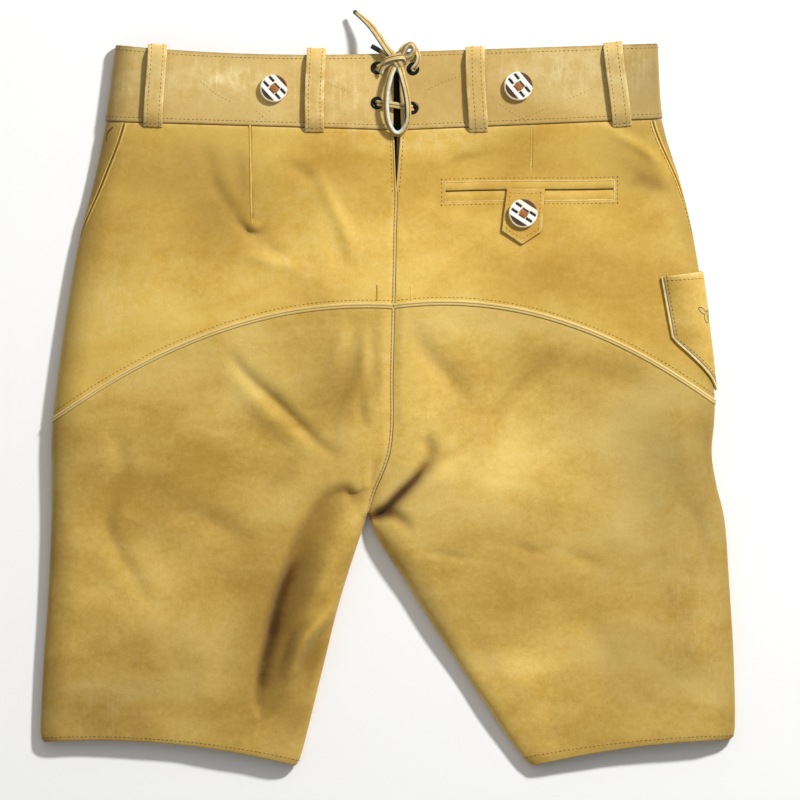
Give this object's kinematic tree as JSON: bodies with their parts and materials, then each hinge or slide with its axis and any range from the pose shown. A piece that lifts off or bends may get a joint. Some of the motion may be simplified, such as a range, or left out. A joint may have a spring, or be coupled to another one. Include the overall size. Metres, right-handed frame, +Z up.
{
  "type": "lederhosen",
  "caption": "Short leather trousers lying flat, back up, with a laced waistband, belt loops, horn buttons, a drop front, a welt pocket and a side knife pocket.",
  "frame": {"origin": "on the surface that the garment lies on, under the middle of its outline without the lace", "axes": "+Y from the hems to the waistband, +Z up out of the garment's back, +X toward the wearer's right leg"},
  "size_m": [0.542, 0.5895, 0.032],
  "materials": {
    "suede_leather": "tan suede split leather, mottled, matt",
    "smooth_leather": "golden tan nappa-like suede, lightly worn",
    "pale_leather_edge": "pale folded leather edge",
    "horn": "carved horn, bone white with dark brown grooves",
    "blackened_metal": "blackened metal",
    "leather_thong": "cut leather thong, tan face and pale flesh side"
  },
  "bodies": {
    "root": {"back_leg_left": "suede_leather", "back_leg_right": "suede_leather", "belt_loop_1": "smooth_leather", "belt_loop_2": "smooth_leather", "belt_loop_3": "smooth_leather", "belt_loop_4": "smooth_leather", "button_left": "horn", "button_right": "horn", "eyelet_1": "blackened_metal", "eyelet_2": "blackened_metal", "eyelet_3": "blackened_metal", "eyelet_4": "blackened_metal", "flap": "suede_leather", "flap_button_left": "horn", "flap_button_right": "horn", "front_left": "suede_leather", "front_right": "suede_leather", "knife_pocket": "suede_leather", "lace_end_long": "leather_thong", "lace_knot": "leather_thong", "lace_loop_long": "leather_thong", "lace_loop_small": "leather_thong", "lace_through": "leather_thong", "pocket_button": "horn", "pocket_tab": "smooth_leather", "pocket_welt_lower": "pale_leather_edge", "pocket_welt_upper": "pale_leather_edge", "waistband_left": "smooth_leather", "waistband_right": "smooth_leather", "yoke_left": "smooth_leather", "yoke_right": "smooth_leather", "yoke_welt_left": "pale_leather_edge", "yoke_welt_right": "pale_leather_edge"}
  },
  "joints": []
}
